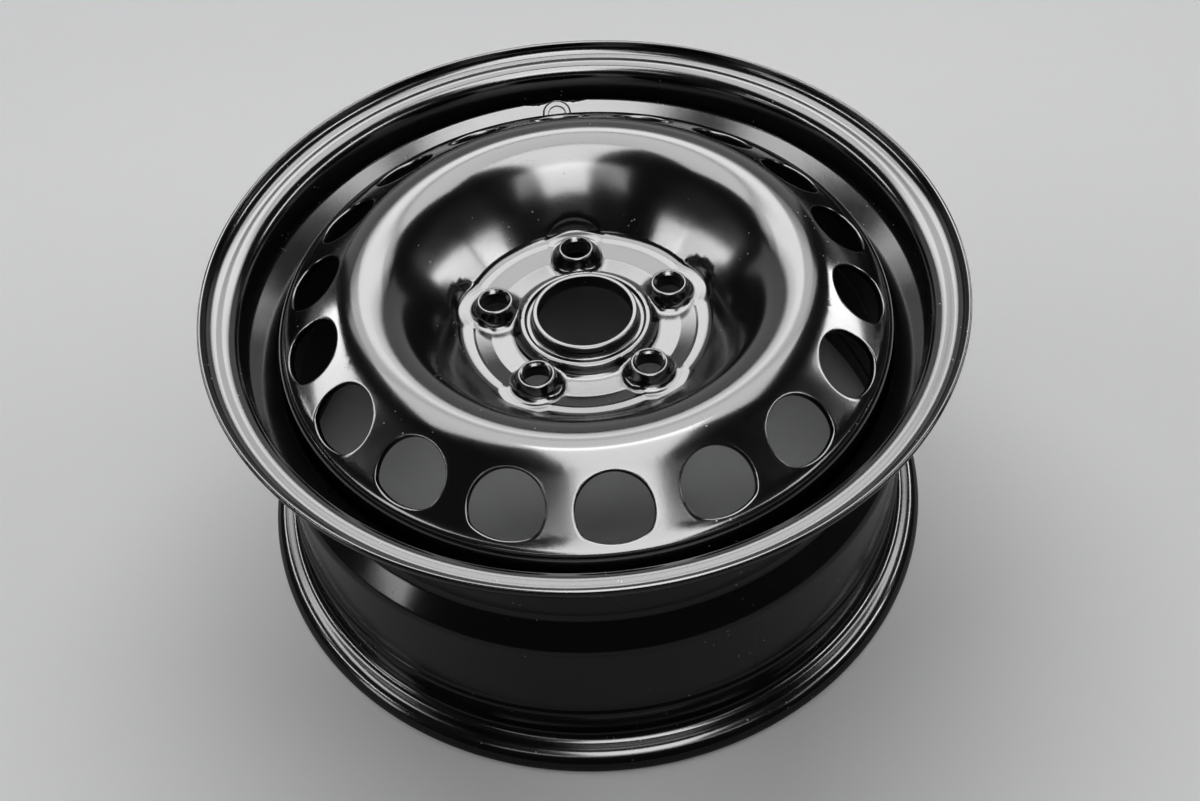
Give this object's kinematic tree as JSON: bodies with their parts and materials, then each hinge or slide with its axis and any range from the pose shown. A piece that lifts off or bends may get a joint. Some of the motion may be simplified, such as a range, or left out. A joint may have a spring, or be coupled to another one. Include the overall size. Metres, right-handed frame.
{
  "type": "steel wheel",
  "caption": "Pressed and welded steel car wheel: drop-centre rim with a valve hole, and a ventilated bowl-shaped disc with hub bore and ball-seat bolt holes.",
  "frame": {"origin": "centre of the hub bore in the plane of the hub face, where the wheel meets the hub flange", "axes": "+Z along the wheel's axis, pointing outboard; +Y through the valve hole, one bolt hole and one vent"},
  "size_m": [0.4401, 0.4402, 0.1998],
  "materials": {
    "rim_enamel": "semi-gloss black dip enamel",
    "disc_enamel": "semi-gloss black dip enamel",
    "weld_enamel": "black dip enamel over a rippled weld bead"
  },
  "bodies": {
    "root": {"rim": "rim_enamel", "disc": "disc_enamel", "weld_seam_1": "weld_enamel", "weld_seam_2": "weld_enamel", "weld_seam_3": "weld_enamel", "weld_seam_4": "weld_enamel", "weld_seam_5": "weld_enamel", "weld_seam_6": "weld_enamel", "weld_seam_7": "weld_enamel", "weld_seam_8": "weld_enamel"}
  },
  "joints": []
}
